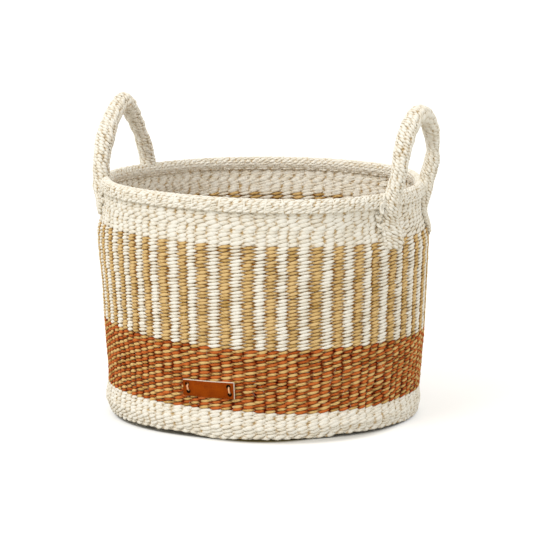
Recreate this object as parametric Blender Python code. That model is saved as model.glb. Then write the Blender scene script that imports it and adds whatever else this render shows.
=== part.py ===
# Kiondo storage basket: four twined sisal bands on a woven floor, a rolled rim,
# two loop handles that tip on their sewn-down ends, and a small leather label.
# Metres, +Z up. The origin lies on the floor under the middle of the basket,
# +X runs to the right handle and the label faces -Y.

import math

import bmesh
import bpy
from mathutils import Vector

# Clearance between pieces that touch
TOUCH_GAP = 0.0003

# Heights of the floor, the bands and the rim roll
FLOOR_THICKNESS = 0.006
FOOT_HEIGHT = 0.028
RUST_HEIGHT = 0.061
STRIPE_HEIGHT = 0.097
UPPER_HEIGHT = 0.031
RIM_HEIGHT = 0.014

# Outer radii of the wall, from the floor up
FLOOR_EDGE_RADIUS = 0.1474
FOOT_BULGE_RADIUS = 0.1523
FOOT_TOP_RADIUS = 0.1507
RUST_TOP_RADIUS = 0.1556
STRIPE_TOP_RADIUS = 0.1600
UPPER_TOP_RADIUS = 0.1615
FOOT_BULGE_SHARE = 0.45
WALL_THICKNESS = 0.005

# Rim roll: a hem folded over a bundle of warp ends
RIM_WIDTH = 0.012
RIM_CORE_RADIUS = 0.0035
RIM_LIP_CHAMFER = 0.0010

# The soft wall is drawn in where each handle leg is sewn down
DRAW_IN_DEPTH = 0.009
DRAW_IN_SPREAD = math.radians(34.0)
DRAW_IN_DROP = 0.058
DRAW_IN_RUN = 0.034

# Handles: legs, loop and the ball at each end of the core
RIGHT_LEG_ANGLE = math.radians(19.5)
LEFT_LEG_ANGLE = math.radians(23.0)
PIVOT_RISE = 0.006
RIGHT_LOOP_RISE = 0.0655
LEFT_LOOP_RISE = 0.0600
LOOP_POINT_SHARE = 0.10
SLEEVE_RADIUS = 0.0077
SLEEVE_END_RADIUS = 0.0066
SLEEVE_TAPER_RUN = 0.008
CORE_RADIUS = 0.0040
BALL_RADIUS = 0.0056
RIGHT_LEAN = math.radians(10.0)
LEFT_LEAN = math.radians(-2.0)

# Sewn-down handle ends: depth below the rim's top, width, thickness and rounding
END_DROP = 0.052
END_TOP_WIDTH = 0.016
END_TOP_THICKNESS = 0.014
END_LOW_WIDTH = 0.028
END_LOW_THICKNESS = 0.007
END_TIP_RUN = 0.008
END_SADDLE_RUN = 0.010
SOCKET_DROP = 0.0012

# Yarn loop and knot beside each sewn-down end
TIE_RADIUS = 0.0018
TIE_LENGTH = 0.011
KNOT_WIDTH = 0.0068
KNOT_HEIGHT = 0.0084
KNOT_THICKNESS = 0.0052
KNOT_DROP = 0.010

# Leather label and its stitches
LABEL_LENGTH = 0.052
LABEL_HEIGHT = 0.0165
LABEL_THICKNESS = 0.0020
LABEL_CORNER = 0.0015
LABEL_RISE = 0.0115
LABEL_ANGLE = math.radians(-90.0)
HOLE_DIAMETER = 0.0024
HOLE_INSET = 0.0050
HOLE_SPACING = 0.0080
THREAD_RADIUS = 0.0007

# Facet counts
RING_STEPS = 60
LOOP_STEPS = 28
LOOP_SIDES = 12
END_STEPS = 12
END_SIDES = 16
DRAW_IN_STEPS = 5
CROWN_STEPS = 7
CHANNEL_STEPS = 6
CORE_SIDES = 8

# Heights and radii that follow from the sizes above
FOOT_TOP = FOOT_HEIGHT
RUST_TOP = FOOT_TOP + RUST_HEIGHT
STRIPE_TOP = RUST_TOP + STRIPE_HEIGHT
RIM_BOTTOM = STRIPE_TOP + UPPER_HEIGHT
RIM_TOP = RIM_BOTTOM + RIM_HEIGHT
RIM_MIDDLE = RIM_BOTTOM + RIM_HEIGHT / 2
RIM_CENTRE_RADIUS = UPPER_TOP_RADIUS - WALL_THICKNESS / 2
RIM_OUTER_RADIUS = RIM_CENTRE_RADIUS + RIM_WIDTH / 2
PIVOT_HEIGHT = RIM_TOP + PIVOT_RISE
LEG_RADIUS = RIM_OUTER_RADIUS - DRAW_IN_DEPTH + TOUCH_GAP + END_TOP_THICKNESS / 2
END_TOP = PIVOT_HEIGHT - SOCKET_DROP
END_BOTTOM = RIM_TOP - END_DROP

# Wall outline: height and outer radius at each break
WALL_OUTLINE = [
    (0.0, FLOOR_EDGE_RADIUS),
    (FOOT_HEIGHT * FOOT_BULGE_SHARE, FOOT_BULGE_RADIUS),
    (FOOT_TOP, FOOT_TOP_RADIUS),
    (RUST_TOP, RUST_TOP_RADIUS),
    (STRIPE_TOP, STRIPE_TOP_RADIUS),
    (RIM_BOTTOM, UPPER_TOP_RADIUS),
]


def smooth_step(share):
    held = min(max(share, 0.0), 1.0)
    return held * held * (3.0 - 2.0 * held)


def read_outline(outline, height):
    # Straight runs between the breaks, held level past both ends.
    for (low, low_value), (high, high_value) in zip(outline, outline[1:]):
        if height <= high:
            share = max(height - low, 0.0) / (high - low)
            return low_value + (high_value - low_value) * share
    return outline[-1][1]


def draw_in_rise():
    # Share of the full draw-in at each break, from below the sewn ends up.
    start = RIM_TOP - DRAW_IN_DROP
    shares = [step / DRAW_IN_STEPS for step in range(DRAW_IN_STEPS + 1)]
    return [(start + DRAW_IN_RUN * share, smooth_step(share)) for share in shares]


def draw_in(angle, height):
    # How far the wall is pulled in: fully between a handle's legs, fading beyond them.
    fades = []
    for middle, leg_angle in ((0.0, RIGHT_LEG_ANGLE), (math.pi, LEFT_LEG_ANGLE)):
        beyond = abs(math.remainder(angle - middle, 2 * math.pi)) - leg_angle
        fades.append(smooth_step(1.0 - beyond / DRAW_IN_SPREAD))
    return DRAW_IN_DEPTH * max(fades) * read_outline(draw_in_rise(), height)


def wall_radius(angle, height):
    return read_outline(WALL_OUTLINE, height) - draw_in(angle, height)


def seat_radius(angle, height):
    # The surface that a sewn-down end lies on: the wall, then the side of the rim.
    saddle = RIM_BOTTOM - END_SADDLE_RUN
    lift = min(max(height - saddle, 0.0) / END_SADDLE_RUN, 1.0)
    base = read_outline(WALL_OUTLINE, height)
    return base + (RIM_OUTER_RADIUS - base) * lift - draw_in(angle, height)


def polar(angle, radius, height):
    return Vector((radius * math.cos(angle), radius * math.sin(angle), height))


def make_material(name, color, roughness):
    material = bpy.data.materials.new(name)
    material.use_nodes = True
    shader = material.node_tree.nodes["Principled BSDF"]
    shader.inputs["Base Color"].default_value = (*color, 1.0)
    shader.inputs["Roughness"].default_value = roughness
    shader.inputs["Metallic"].default_value = 0.0
    return material


def add_object(name, mesh_builder, material, sharp_angle=math.radians(40.0)):
    # Turns a finished bmesh into a named object with its own material.
    bmesh.ops.recalc_face_normals(mesh_builder, faces=mesh_builder.faces)
    mesh = bpy.data.meshes.new(name)
    mesh_builder.to_mesh(mesh)
    mesh_builder.free()
    mesh.shade_smooth()
    mesh.set_sharp_from_angle(angle=sharp_angle)
    mesh.materials.append(material)
    item = bpy.data.objects.new(name, mesh)
    bpy.context.collection.objects.link(item)
    return item


def bridge_rings(mesh_builder, rings, closed):
    # Quads between neighbouring rings of vertices, round the loop if it is closed.
    pairs = list(zip(rings, rings[1:]))
    if closed:
        pairs.append((rings[-1], rings[0]))
    for first, second in pairs:
        for index in range(len(first)):
            after = (index + 1) % len(first)
            corners = (first[index], first[after], second[after], second[index])
            mesh_builder.faces.new(corners)


def add_ring(name, section, material):
    # Revolves a closed section of (radius, height) points, drawn in at the legs.
    mesh_builder = bmesh.new()
    rings = []
    for step in range(RING_STEPS):
        angle = 2 * math.pi * step / RING_STEPS
        points = [polar(angle, radius - draw_in(angle, height), height) for radius, height in section]
        rings.append([mesh_builder.verts.new(point) for point in points])
    bridge_rings(mesh_builder, rings, closed=True)
    return add_object(name, mesh_builder, material)


def band_section(bottom, top):
    # The wall between two heights: up the outer face and down the inner one.
    breaks = [height for height, value in WALL_OUTLINE + draw_in_rise() if bottom < height < top]
    heights = sorted({bottom, top, *breaks})
    outer = [(read_outline(WALL_OUTLINE, height), height) for height in heights]
    inner = [(radius - WALL_THICKNESS, height) for radius, height in reversed(outer)]
    return outer + inner


def add_bands(cream, rust, tan):
    half_gap = TOUCH_GAP / 2
    add_ring("foot_band", band_section(0.0, FOOT_TOP - half_gap), cream)
    add_ring("rust_band", band_section(FOOT_TOP + half_gap, RUST_TOP - half_gap), rust)
    add_ring("striped_band", band_section(RUST_TOP + half_gap, STRIPE_TOP - half_gap), tan)
    band_top = RIM_MIDDLE - RIM_CORE_RADIUS - TOUCH_GAP
    add_ring("upper_band", band_section(STRIPE_TOP + half_gap, band_top), cream)


def add_base(cream):
    # Flat twined floor that fills the foot band.
    bottom_radius = FLOOR_EDGE_RADIUS - WALL_THICKNESS - TOUCH_GAP
    top_radius = read_outline(WALL_OUTLINE, FLOOR_THICKNESS) - WALL_THICKNESS - TOUCH_GAP
    mesh_builder = bmesh.new()
    rings = []
    for radius, height in ((bottom_radius, 0.0), (top_radius, FLOOR_THICKNESS)):
        angles = [2 * math.pi * step / RING_STEPS for step in range(RING_STEPS)]
        rings.append([mesh_builder.verts.new(polar(angle, radius, height)) for angle in angles])
    bridge_rings(mesh_builder, rings, closed=False)
    for ring in rings:
        mesh_builder.faces.new(ring)
    add_object("base_disc", mesh_builder, cream)


def rim_cover_section():
    # A folded hem: round crown outside, a channel for the core and a slot for the wall.
    half_width = RIM_WIDTH / 2
    half_slot = WALL_THICKNESS / 2 + TOUCH_GAP
    channel = RIM_CORE_RADIUS + TOUCH_GAP
    lip = RIM_BOTTOM + RIM_LIP_CHAMFER
    crown = []
    for step in range(CROWN_STEPS + 1):
        angle = math.pi * step / CROWN_STEPS
        height = RIM_MIDDLE + RIM_HEIGHT / 2 * math.sin(angle)
        crown.append((RIM_CENTRE_RADIUS + half_width * math.cos(angle), height))
    foot = [
        (RIM_CENTRE_RADIUS - half_width, lip),
        (RIM_CENTRE_RADIUS - half_width + RIM_LIP_CHAMFER, RIM_BOTTOM),
        (RIM_CENTRE_RADIUS - half_slot, RIM_BOTTOM),
    ]
    start = math.acos(half_slot / channel)
    arc = []
    for step in range(CHANNEL_STEPS + 1):
        angle = math.pi + start - (math.pi + 2 * start) * step / CHANNEL_STEPS
        height = RIM_MIDDLE + channel * math.sin(angle)
        arc.append((RIM_CENTRE_RADIUS + channel * math.cos(angle), height))
    close = [
        (RIM_CENTRE_RADIUS + half_slot, RIM_BOTTOM),
        (RIM_CENTRE_RADIUS + half_width - RIM_LIP_CHAMFER, RIM_BOTTOM),
        (RIM_CENTRE_RADIUS + half_width, lip),
    ]
    return crown + foot + arc + close


def add_rim(cream):
    core = []
    for step in range(CORE_SIDES):
        angle = 2 * math.pi * step / CORE_SIDES
        height = RIM_MIDDLE + RIM_CORE_RADIUS * math.sin(angle)
        core.append((RIM_CENTRE_RADIUS + RIM_CORE_RADIUS * math.cos(angle), height))
    add_ring("rim_core", core, cream)
    add_ring("rim_cover", rim_cover_section(), cream)


def loop_frame(turn, loop):
    # A point on the loop, a half-ellipse drawn in to a blunt point, and its outward normal.
    half_span, loop_rise = loop
    reach = half_span / (1.0 + LOOP_POINT_SHARE)
    across = reach * (math.cos(turn) + LOOP_POINT_SHARE * math.cos(3 * turn))
    inward = reach * (math.sin(turn) + 3 * LOOP_POINT_SHARE * math.sin(3 * turn))
    normal = Vector((0.0, loop_rise * math.cos(turn), inward))
    return Vector((0.0, across, loop_rise * math.sin(turn))), normal.normalized()


def loop_ring(mesh_builder, turn, loop, radius):
    point, across = loop_frame(turn, loop)
    side = Vector((1.0, 0.0, 0.0))
    ring = []
    for step in range(LOOP_SIDES):
        angle = 2 * math.pi * step / LOOP_SIDES
        offset = (across * math.cos(angle) + side * math.sin(angle)) * radius
        ring.append(mesh_builder.verts.new(point + offset))
    return ring


def sleeve_radius(rise):
    share = smooth_step(rise / SLEEVE_TAPER_RUN)
    return SLEEVE_END_RADIUS + (SLEEVE_RADIUS - SLEEVE_END_RADIUS) * share


def sleeve_turns(loop_rise):
    # The sleeve starts just above the ball, where the core's neck leaves it.
    bore = CORE_RADIUS + TOUCH_GAP
    start_rise = math.sqrt(BALL_RADIUS ** 2 - CORE_RADIUS ** 2) + 2 * TOUCH_GAP + (bore - CORE_RADIUS)
    start = math.asin(start_rise / loop_rise)
    turns = [start + (math.pi - 2 * start) * step / LOOP_STEPS for step in range(LOOP_STEPS + 1)]
    return start_rise, turns


def add_sleeve(name, loop, material):
    # The twined sleeve: outer skin one way, bore back again, closed at both ends.
    start_rise, turns = sleeve_turns(loop[1])
    bore_radius = CORE_RADIUS + TOUCH_GAP
    mesh_builder = bmesh.new()
    outer = []
    for turn in turns:
        rise = loop[1] * math.sin(turn) - start_rise
        outer.append(loop_ring(mesh_builder, turn, loop, sleeve_radius(rise)))
    bore = [loop_ring(mesh_builder, turn, loop, bore_radius) for turn in reversed(turns)]
    bridge_rings(mesh_builder, outer + bore, closed=True)
    return add_object(name, mesh_builder, material)


def ball_rings(mesh_builder, centre_sign, half_span):
    # The lower part of the ball, from near its pole up to the neck of the core.
    neck = math.acos(CORE_RADIUS / BALL_RADIUS)
    rings = []
    for step in range(1, 7):
        tilt = -math.pi / 2 + (neck + math.pi / 2) * step / 6
        radius = BALL_RADIUS * math.cos(tilt)
        centre = Vector((0.0, centre_sign * half_span, BALL_RADIUS * math.sin(tilt)))
        ring = []
        for side_step in range(LOOP_SIDES):
            angle = 2 * math.pi * side_step / LOOP_SIDES
            offset = Vector((math.sin(angle), centre_sign * math.cos(angle), 0.0)) * radius
            ring.append(mesh_builder.verts.new(centre + offset))
        rings.append(ring)
    return rings


def add_core(name, loop, material):
    # The rope core, with a whipped ball at each end that sits in a sewn-down end.
    half_span, loop_rise = loop
    start_rise, turns = sleeve_turns(loop_rise)
    mesh_builder = bmesh.new()
    first = ball_rings(mesh_builder, 1.0, half_span)
    neck = [loop_ring(mesh_builder, turn, loop, CORE_RADIUS) for turn in turns]
    last = ball_rings(mesh_builder, -1.0, half_span)
    rings = first + neck + list(reversed(last))
    bridge_rings(mesh_builder, rings, closed=False)
    mesh_builder.faces.new(rings[0])
    mesh_builder.faces.new(rings[-1])
    return add_object(name, mesh_builder, material)


def add_handle(side, leg_angle, loop_rise, lean, cream, core_material):
    # Both pieces hang on an empty whose Y axis is the line through the two balls.
    facing = 1.0 if side == "right" else -1.0
    pivot = bpy.data.objects.new(side + "_handle_pivot", None)
    bpy.context.collection.objects.link(pivot)
    pivot.location = (LEG_RADIUS * math.cos(leg_angle) * facing, 0.0, PIVOT_HEIGHT)
    pivot.rotation_euler = (0.0, lean * facing, 0.0)
    loop = (LEG_RADIUS * math.sin(leg_angle), loop_rise)
    for item in (
        add_sleeve(side + "_handle_cover", loop, cream),
        add_core(side + "_handle_core", loop, core_material),
    ):
        item.parent = pivot


def end_size(height):
    # Width and thickness of a sewn-down end: a rope at the top, a flat tab low down.
    rope_share = smooth_step((height - END_BOTTOM) / (RIM_MIDDLE - END_BOTTOM))
    width = END_LOW_WIDTH + (END_TOP_WIDTH - END_LOW_WIDTH) * rope_share
    thickness = END_LOW_THICKNESS + (END_TOP_THICKNESS - END_LOW_THICKNESS) * rope_share
    return width, thickness


def end_heights():
    # Close steps at the rounded tip, then even ones up to the socket.
    rounded = [END_TIP_RUN * (1.0 - math.cos(math.pi / 2 * step / 4)) for step in range(1, 5)]
    rest = END_TOP - END_BOTTOM - END_TIP_RUN
    even = [END_TIP_RUN + rest * step / END_STEPS for step in range(1, END_STEPS + 1)]
    return rounded + even


def end_ring(mesh_builder, leg, rise):
    height = END_BOTTOM + rise
    width, thickness = end_size(height)
    if rise < END_TIP_RUN:
        rounding = math.sqrt(1.0 - ((END_TIP_RUN - rise) / END_TIP_RUN) ** 2)
        width *= rounding
        thickness *= rounding
    ring = []
    for step in range(END_SIDES):
        turn = 2 * math.pi * step / END_SIDES
        angle = leg + width / 2 * math.cos(turn) / LEG_RADIUS
        lift = thickness / 2 * (1.0 + math.sin(turn)) + TOUCH_GAP
        ring.append(mesh_builder.verts.new(polar(angle, seat_radius(angle, height) + lift, height)))
    return ring


def add_socket_cutter(name, leg):
    mesh_builder = bmesh.new()
    radius = BALL_RADIUS + TOUCH_GAP
    bmesh.ops.create_uvsphere(mesh_builder, u_segments=END_SIDES, v_segments=END_SIDES // 2, radius=radius)
    cutter = add_object(name, mesh_builder, bpy.data.materials["cutter"])
    cutter.location = polar(leg, LEG_RADIUS, PIVOT_HEIGHT)
    return hide_cutter(cutter)


def hide_cutter(cutter):
    cutter.hide_render = True
    cutter.display_type = "WIRE"
    return cutter


def cut(item, cutter):
    boolean = item.modifiers.new("cut " + cutter.name, "BOOLEAN")
    boolean.operation = "DIFFERENCE"
    boolean.solver = "EXACT"
    boolean.object = cutter


def add_end(name, leg, material):
    # A handle end sewn down the outside of the wall, with a ball socket in its top.
    mesh_builder = bmesh.new()
    rings = [end_ring(mesh_builder, leg, rise) for rise in end_heights()]
    bridge_rings(mesh_builder, rings, closed=False)
    mesh_builder.faces.new(rings[0])
    mesh_builder.faces.new(rings[-1])
    item = add_object(name, mesh_builder, material)
    cut(item, add_socket_cutter(name + "_socket_cutter", leg))


def add_tie_loop(name, leg, away, material):
    # A short yarn lashing that stands beside the leg on the side of the rim.
    mesh_builder = bmesh.new()
    bmesh.ops.create_uvsphere(mesh_builder, u_segments=8, v_segments=6, radius=TIE_RADIUS)
    half_run = TIE_LENGTH / 2 - TIE_RADIUS
    for vertex in mesh_builder.verts:
        vertex.co.z += half_run if vertex.co.z > 0.0 else -half_run
    width, thickness = end_size(RIM_MIDDLE)
    reach = width / 2 + TIE_RADIUS + TOUCH_GAP
    angle = leg + away * reach / RIM_OUTER_RADIUS
    radius = RIM_OUTER_RADIUS - draw_in(angle, RIM_MIDDLE) + TOUCH_GAP + TIE_RADIUS
    item = add_object(name, mesh_builder, material)
    item.location = polar(angle, radius, RIM_MIDDLE)


def knot_lift(angle, height):
    # How far the knot's middle stands off a wall that slopes past it.
    half = KNOT_HEIGHT / 2
    slope = (wall_radius(angle, height + half) - wall_radius(angle, height - half)) / 2
    return TOUCH_GAP + math.hypot(KNOT_THICKNESS / 2, slope)


def add_tie_knot(name, leg, away, material):
    # The yarn's knot, on the wall just below the rim.
    mesh_builder = bmesh.new()
    bmesh.ops.create_uvsphere(mesh_builder, u_segments=10, v_segments=8, radius=1.0)
    size = Vector((KNOT_THICKNESS / 2, KNOT_WIDTH / 2, KNOT_HEIGHT / 2))
    bmesh.ops.scale(mesh_builder, vec=size, verts=mesh_builder.verts)
    height = RIM_BOTTOM - KNOT_DROP
    width, thickness = end_size(height)
    reach = width / 2 + KNOT_WIDTH / 2 + TOUCH_GAP
    angle = leg + away * reach / wall_radius(leg, height)
    item = add_object(name, mesh_builder, material)
    item.rotation_euler = (0.0, 0.0, angle)
    item.location = polar(angle, wall_radius(angle, height) + knot_lift(angle, height), height)


def add_ends(cream, thread):
    # away points round the wall from the handle's middle to the outer side of the leg
    for side, middle, leg_angle in (("right", 0.0, RIGHT_LEG_ANGLE), ("left", math.pi, LEFT_LEG_ANGLE)):
        for place, sign in (("front", -1.0), ("back", 1.0)):
            away = sign if side == "right" else -sign
            leg = middle + away * leg_angle
            name = side + "_end_" + place
            add_end(name, leg, cream)
            add_tie_loop(name + "_tie_loop", leg, away, thread)
            add_tie_knot(name + "_tie_knot", leg, away, thread)


def label_point(across, up, out):
    # Wraps a flat point of the label onto the wall of the rust band.
    height = FOOT_TOP + LABEL_RISE + LABEL_HEIGHT / 2 + up
    angle = LABEL_ANGLE + across / wall_radius(LABEL_ANGLE, height)
    return polar(angle, wall_radius(angle, height) + TOUCH_GAP + out, height)


def add_hole_cutter(name, across, up):
    mesh_builder = bmesh.new()
    depth = 3 * LABEL_THICKNESS
    radius = HOLE_DIAMETER / 2
    bmesh.ops.create_cone(
        mesh_builder, cap_ends=True, segments=10, radius1=radius, radius2=radius, depth=depth
    )
    cutter = add_object(name, mesh_builder, bpy.data.materials["cutter"])
    middle = label_point(across, up, LABEL_THICKNESS / 2)
    cutter.location = middle
    cutter.rotation_euler = Vector((middle.x, middle.y, 0.0)).to_track_quat("Z", "Y").to_euler()
    return hide_cutter(cutter)


def add_label(leather):
    # A strip with clipped corners, bent round the wall, with two holes at each end.
    mesh_builder = bmesh.new()
    bmesh.ops.create_grid(mesh_builder, x_segments=14, y_segments=2, size=1 / 2)
    corners = [vertex for vertex in mesh_builder.verts if len(vertex.link_edges) == 2]
    bmesh.ops.scale(mesh_builder, vec=(LABEL_LENGTH, LABEL_HEIGHT, 1.0), verts=mesh_builder.verts)
    bmesh.ops.bevel(mesh_builder, geom=corners, offset=LABEL_CORNER, affect="VERTICES")
    bottom = mesh_builder.faces[:]
    grown = bmesh.ops.extrude_face_region(mesh_builder, geom=bottom, use_keep_orig=True)
    lifted = [part for part in grown["geom"] if isinstance(part, bmesh.types.BMVert)]
    bmesh.ops.translate(mesh_builder, vec=(0.0, 0.0, LABEL_THICKNESS), verts=lifted)
    for vertex in mesh_builder.verts:
        vertex.co = label_point(*vertex.co)
    item = add_object("leather_label", mesh_builder, leather)
    for index, (across, up) in enumerate(hole_places()):
        cut(item, add_hole_cutter("label_hole_cutter_" + str(index), across, up))


def hole_places():
    reach = LABEL_LENGTH / 2 - HOLE_INSET
    rise = HOLE_SPACING / 2
    return [(-reach, rise), (-reach, -rise), (reach, rise), (reach, -rise)]


def add_stitch(name, across, thread):
    # Thread that comes out of the upper hole, lies on the leather and goes back in.
    bottom = THREAD_RADIUS / 2
    top = LABEL_THICKNESS + TOUCH_GAP + THREAD_RADIUS
    rise = HOLE_SPACING / 2
    route = [(rise, bottom), (rise, top - THREAD_RADIUS), (rise - THREAD_RADIUS, top)]
    route += [(-up, out) for up, out in reversed(route)]
    curve = bpy.data.curves.new(name, "CURVE")
    curve.dimensions = "3D"
    curve.bevel_depth = THREAD_RADIUS
    curve.bevel_resolution = 1
    curve.use_fill_caps = True
    spline = curve.splines.new("POLY")
    spline.points.add(len(route) - 1)
    for point, (up, out) in zip(spline.points, route):
        point.co = (*label_point(across, up, out), 1.0)
    curve.materials.append(thread)
    item = bpy.data.objects.new(name, curve)
    bpy.context.collection.objects.link(item)


def build():
    for item in list(bpy.data.objects):
        bpy.data.objects.remove(item, do_unlink=True)
    cream = make_material("cream_sisal", (0.80, 0.73, 0.58), 0.85)
    rust = make_material("rust_sisal", (0.52, 0.20, 0.06), 0.85)
    tan = make_material("tan_striped_sisal", (0.62, 0.44, 0.20), 0.85)
    rope = make_material("rope_core", (0.70, 0.62, 0.46), 0.9)
    thread = make_material("pale_thread", (0.85, 0.76, 0.60), 0.8)
    leather = make_material("tan_leather", (0.52, 0.22, 0.05), 0.55)
    make_material("cutter", (0.5, 0.5, 0.5), 0.5)
    add_base(cream)
    add_bands(cream, rust, tan)
    add_rim(cream)
    add_handle("right", RIGHT_LEG_ANGLE, RIGHT_LOOP_RISE, RIGHT_LEAN, cream, rope)
    add_handle("left", LEFT_LEG_ANGLE, LEFT_LOOP_RISE, LEFT_LEAN, cream, rope)
    add_ends(cream, thread)
    add_label(leather)
    reach = LABEL_LENGTH / 2 - HOLE_INSET
    add_stitch("label_stitch_left", -reach, thread)
    add_stitch("label_stitch_right", reach, thread)


build()
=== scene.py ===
import math

import bpy
import numpy as np
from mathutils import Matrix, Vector


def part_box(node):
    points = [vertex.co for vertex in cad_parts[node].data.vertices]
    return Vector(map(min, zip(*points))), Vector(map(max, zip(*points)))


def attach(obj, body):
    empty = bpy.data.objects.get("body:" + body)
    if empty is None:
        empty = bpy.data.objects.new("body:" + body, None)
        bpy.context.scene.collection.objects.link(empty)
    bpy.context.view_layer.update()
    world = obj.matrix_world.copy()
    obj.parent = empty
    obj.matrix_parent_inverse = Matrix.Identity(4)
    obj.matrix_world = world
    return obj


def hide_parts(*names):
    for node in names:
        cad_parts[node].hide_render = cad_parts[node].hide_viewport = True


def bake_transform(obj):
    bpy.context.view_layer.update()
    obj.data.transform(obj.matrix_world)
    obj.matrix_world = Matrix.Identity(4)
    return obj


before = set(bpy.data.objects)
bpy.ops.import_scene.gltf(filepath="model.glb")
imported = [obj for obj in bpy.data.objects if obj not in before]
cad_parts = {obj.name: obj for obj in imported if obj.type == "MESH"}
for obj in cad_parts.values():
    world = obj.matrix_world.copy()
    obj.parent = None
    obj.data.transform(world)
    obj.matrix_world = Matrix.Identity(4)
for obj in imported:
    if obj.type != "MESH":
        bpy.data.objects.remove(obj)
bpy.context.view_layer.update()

cameraAzimuth = math.radians(20.0)
chance = np.random.default_rng(12)
print("frame loaded")

# the wall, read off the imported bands
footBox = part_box("foot_band")
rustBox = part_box("rust_band")
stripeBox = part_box("striped_band")
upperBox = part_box("upper_band")
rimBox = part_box("rim_cover")
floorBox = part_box("base_disc")

wallShape = {
    "warpCount": 92,
    "warpNudge": 0.10,          # how unevenly the warps stand, in stitches
    "warpCrowding": 0.045,      # the stitches are wider on the right than on the left
    "warpStart": math.radians(1.2),
    "weaveLift": 0.0011,        # the stitches stand out this far
    "thickness": 0.005,
    "footBulgeHeight": 0.0126,
    "footTopRadius": 0.1507,
    "drawInRight": 0.009,       # how far each handle pulls the top of the wall in
    "drawInLeft": 0.0055,
    "drawInSpread": math.radians(34.0),
    "drawInStart": 0.173,
    "drawInRun": 0.034,
    "legAngle": {"right": math.radians(19.5), "left": math.radians(23.0)},
    "sagDepth": 0.0045,         # the hand-made rim dips towards the front right
    "sagAngle": math.radians(20.0),
    "backAngle": math.radians(110.0),
    "backLift": 0.0095,         # the stripes climb higher at the back
    "leftAngle": math.radians(195.0),
    "leftLift": 0.0042,         # and the rust band higher at the left
    "rustDip": 0.0022,          # the rust band's top edge is lower in front
    "rustDipAngle": math.radians(-71.0),
    "footDip": 0.0031,          # and its lower edge at the front right
    "footDipAngle": math.radians(-45.0),
    "footLift": 0.0050,         # the foot rests on its front and back
    "footLiftLess": 0.36,       # less of it on the right
    "footLiftStart": 0.110,     # and the floor bends up to it at the sides
    "bulgeDepth": 0.0022,       # the left side swells a little below the rim
    "bulgeAngle": math.radians(195.0),
    "bulgeHeight": 0.166,
    "bulgeSpread": 0.030,
    "footSwell": 0.0022,        # and again at the foot
    "footSwellHeight": 0.016,
    "footSwellSpread": 0.014,
}
outlineHeights = [0.0, wallShape["footBulgeHeight"], footBox[1][2], rustBox[1][2], stripeBox[1][2], rimBox[0][2]]
outlineRadii = [
    floorBox[1][1] + wallShape["thickness"],
    footBox[1][1],
    wallShape["footTopRadius"],
    rustBox[1][1],
    stripeBox[1][1],
    upperBox[1][1],
]

liftHeights = [0.0, footBox[1][2], rustBox[1][2], stripeBox[1][2], rimBox[0][2]]


def smoothStep(share):
    held = np.clip(share, 0.0, 1.0)
    return held * held * (3.0 - 2.0 * held)


def drawIn(angle, height):
    turned = np.abs((np.asarray(angle) + math.pi / 2) % math.pi - math.pi / 2)
    onRight = np.cos(angle) > 0.0
    legAngle = np.where(onRight, wallShape["legAngle"]["right"], wallShape["legAngle"]["left"])
    beyond = (turned - legAngle) / wallShape["drawInSpread"]
    rise = smoothStep((height - wallShape["drawInStart"]) / wallShape["drawInRun"])
    depth = np.where(onRight, wallShape["drawInRight"], wallShape["drawInLeft"])
    return depth * smoothStep(1.0 - beyond) * rise


def bulge(angle, height):
    facing = np.maximum(np.cos(np.asarray(angle) - wallShape["bulgeAngle"]), 0.0) ** 2
    upper = np.exp(-((height - wallShape["bulgeHeight"]) / wallShape["bulgeSpread"]) ** 2)
    lower = np.exp(-((height - wallShape["footSwellHeight"]) / wallShape["footSwellSpread"]) ** 2)
    return facing * (wallShape["bulgeDepth"] * upper + wallShape["footSwell"] * lower)


def wallRadius(angle, height):
    return np.interp(height, outlineHeights, outlineRadii) - drawIn(angle, height) + bulge(angle, height)


def footRise(angle):
    resting = smoothStep((np.abs(np.sin(np.asarray(angle) - cameraAzimuth)) - 0.86) / 0.13)
    onRight = np.maximum(np.cos(angle), 0.0) ** 2
    return wallShape["footLift"] * (1.0 - resting) * (1.0 - wallShape["footLiftLess"] * onRight)


def floorRise(angle, radius):
    start = wallShape["footLiftStart"]
    return footRise(angle) * smoothStep((radius - start) / (floorBox[1][1] - start))


def sag(angle, height):
    turned = np.asarray(angle) - wallShape["sagAngle"]
    lean = np.cos(turned) * (1.0 - np.sin(turned)) / 2
    dip = -wallShape["sagDepth"] * lean * smoothStep(height / rustBox[1][2])
    behind = smoothStep((np.cos(np.asarray(angle) - wallShape["backAngle"]) - 0.2) / 0.8)
    beside = smoothStep((np.cos(np.asarray(angle) - wallShape["leftAngle"]) - 0.45) / 0.55)
    lift = wallShape["backLift"] * behind * np.interp(height, liftHeights, (0.0, 0.0, 0.0, 1.0, 0.0))
    lift = lift + footRise(angle) * np.interp(height, liftHeights, (1.0, 0.2, 0.0, 0.0, 0.0))
    inFront = smoothStep((np.cos(np.asarray(angle) - wallShape["rustDipAngle"]) - 0.88) / 0.12)
    atCorner = smoothStep((np.cos(np.asarray(angle) - wallShape["footDipAngle"]) - 0.80) / 0.20)
    lift = lift - wallShape["rustDip"] * inFront * np.interp(height, liftHeights, (0.0, 0.0, 1.0, 0.0, 0.0))
    lift = lift - wallShape["footDip"] * atCorner * np.interp(height, liftHeights, (0.0, 1.0, 0.0, 0.0, 0.0))
    return dip + lift + wallShape["leftLift"] * beside * np.interp(height, liftHeights, (0.0, 0.6, 1.0, 0.3, 0.0))


# the warps stand unevenly, and each leans a little
nudges = chance.normal(0.0, wallShape["warpNudge"], wallShape["warpCount"])
leans = chance.normal(0.0, wallShape["warpNudge"] * 0.6, wallShape["warpCount"])
leanStarts = chance.uniform(0.0, 2 * math.pi, wallShape["warpCount"])


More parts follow.
